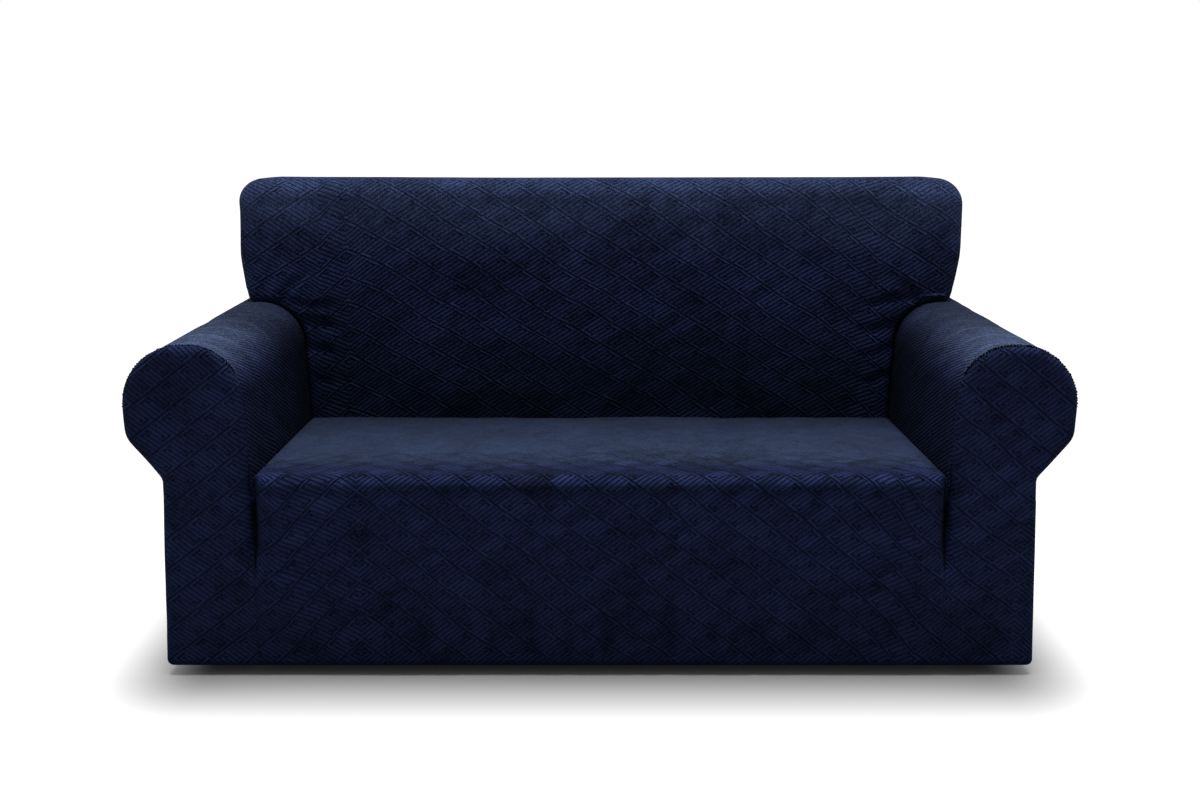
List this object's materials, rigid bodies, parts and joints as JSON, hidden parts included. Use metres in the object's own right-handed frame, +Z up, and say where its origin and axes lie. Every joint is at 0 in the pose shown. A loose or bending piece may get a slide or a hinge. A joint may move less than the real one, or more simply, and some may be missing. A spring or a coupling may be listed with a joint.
{
  "type": "sofa slipcover",
  "caption": "Fitted stretch slipcover for a two-seat sofa with rolled arms: skirt, seat and arm fronts in one cloth, arm panels, inside back and outside back.",
  "frame": {"origin": "on the plane of the hem, at the middle of the cover's width and depth", "axes": "+X to the right as seen from the front, +Y from the front to the back, +Z up"},
  "size_m": [1.758, 0.84, 0.885],
  "materials": {
    "front_cloth": "matt stretch jacquard with an embossed key pattern",
    "arm_cloth": "matt stretch jacquard with an embossed key pattern",
    "back_cloth": "matt stretch jacquard with an embossed key pattern"
  },
  "bodies": {
    "root": {"front_and_seat": "front_cloth", "arm_left": "arm_cloth", "arm_right": "arm_cloth", "inside_back": "back_cloth", "outside_back": "back_cloth"}
  },
  "joints": []
}
